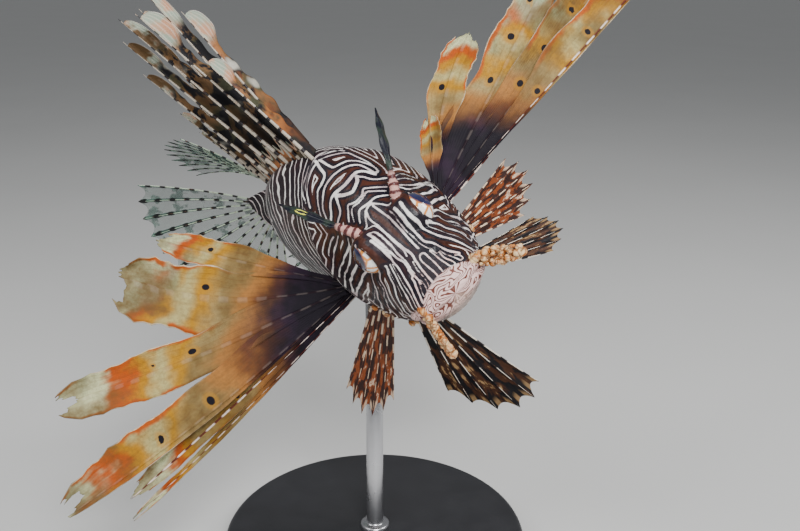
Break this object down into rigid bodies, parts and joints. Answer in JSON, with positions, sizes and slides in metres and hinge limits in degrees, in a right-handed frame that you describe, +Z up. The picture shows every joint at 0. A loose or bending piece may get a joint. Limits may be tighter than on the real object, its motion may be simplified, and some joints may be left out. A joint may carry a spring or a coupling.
{
  "type": "red lionfish",
  "caption": "Still, life-size red lionfish in a banked turn with its fan-like pectoral fins spread, held on a rod over a round display base.",
  "frame": {"origin": "centre of the stand base's underside", "axes": "+Z up, the nose points along -Y with the fish banked about its nose-to-tail line, its left side towards +X and up"},
  "size_m": [0.2418, 0.1954, 0.2575],
  "materials": {
    "skin": "satin, thin white bars on red-brown",
    "eyes": "glossy",
    "fins": "satin, banded ochre and cream",
    "clear_fins": "translucent with dark spots on the rays",
    "flaps": "satin",
    "base": "satin",
    "rod": "brushed"
  },
  "bodies": {
    "root": {"head": "skin", "lower_jaw": "skin", "torso": "skin", "tail": "skin", "eye_left": "eyes", "eye_right": "eyes", "dorsal_fin_spines": "fins", "dorsal_fin_soft": "clear_fins", "anal_fin": "clear_fins", "caudal_fin": "clear_fins", "pelvic_fin_left": "fins", "pelvic_fin_right": "fins", "pectoral_fin_left": "fins", "pectoral_fin_right": "fins", "pectoral_lower_rays_left": "fins", "pectoral_lower_rays_right": "fins", "eye_tentacle_left": "flaps", "eye_tentacle_right": "flaps", "snout_barbel_left": "flaps", "snout_barbel_right": "flaps", "stand_base": "base", "stand_rod": "rod"}
  },
  "joints": []
}
